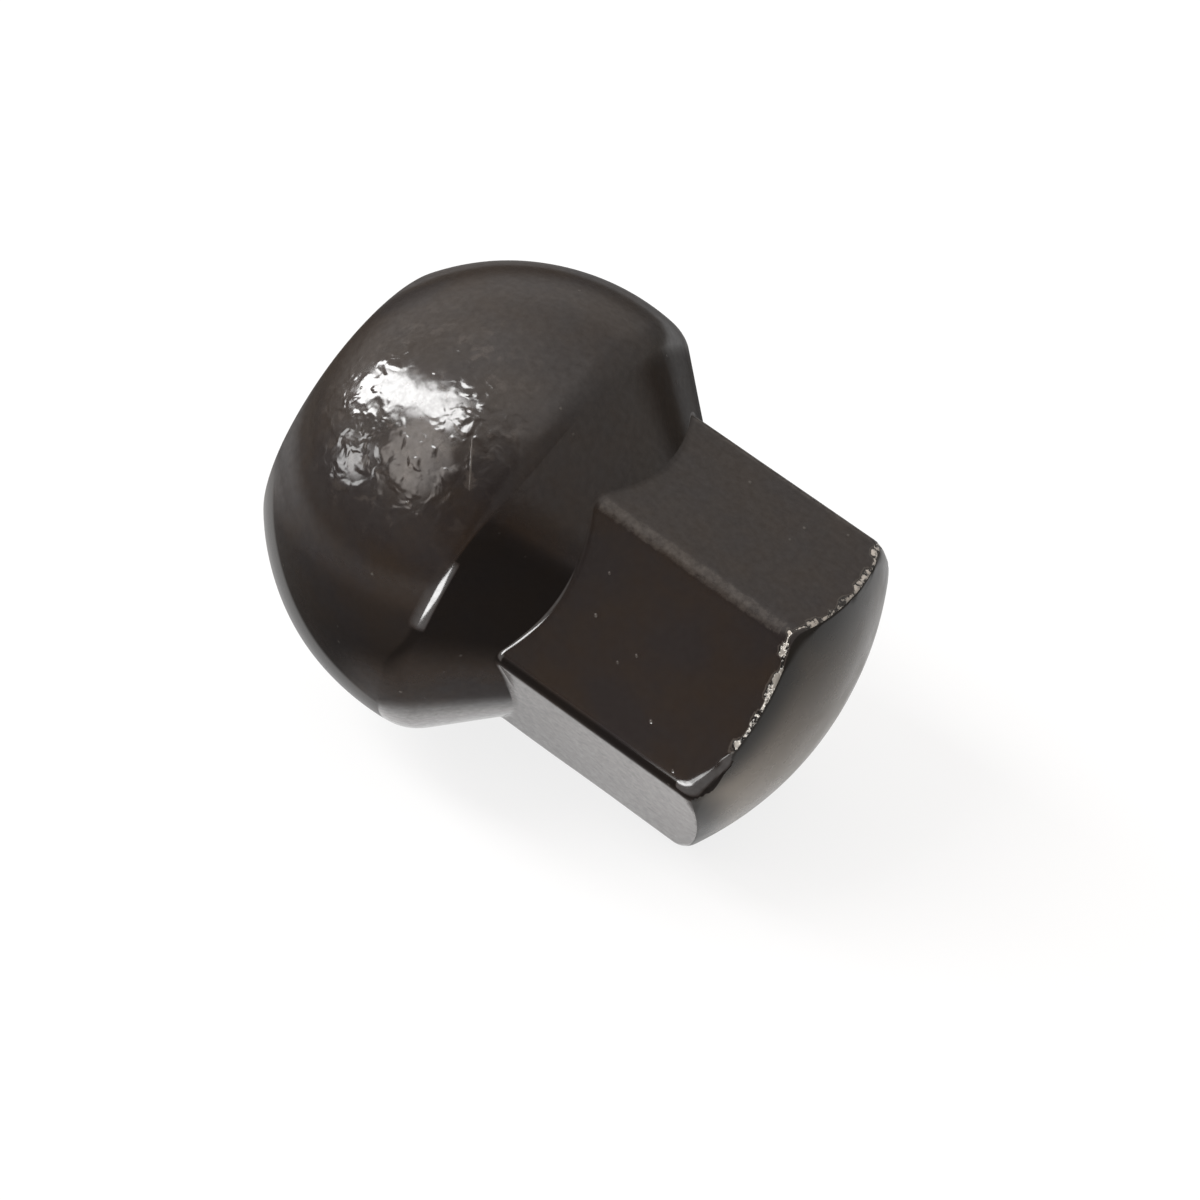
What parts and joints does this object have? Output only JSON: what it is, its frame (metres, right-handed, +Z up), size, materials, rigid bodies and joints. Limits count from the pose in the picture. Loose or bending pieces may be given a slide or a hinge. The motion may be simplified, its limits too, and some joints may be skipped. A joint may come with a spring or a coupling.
{
  "type": "lug nut",
  "caption": "Closed-end ball-seat lug nut in one forged piece: a truncated ball, a conical neck and a crowned hexagon, with a blind threaded hole in the seat end.",
  "frame": {"origin": "at table height, under the middle of the overall box of the nut as it lies", "axes": "+Z up; the nut's axis lies in the XZ plane and runs along +X from the open seat end to the crowned end, dipping by 15.2 degrees, as it rests on its ball and on the crowned edge of one flat"},
  "size_m": [0.0322, 0.026, 0.026],
  "materials": {
    "black_painted_steel": "glossy black paint over a forged skin"
  },
  "bodies": {
    "root": {"lug_nut": "black_painted_steel"}
  },
  "joints": []
}
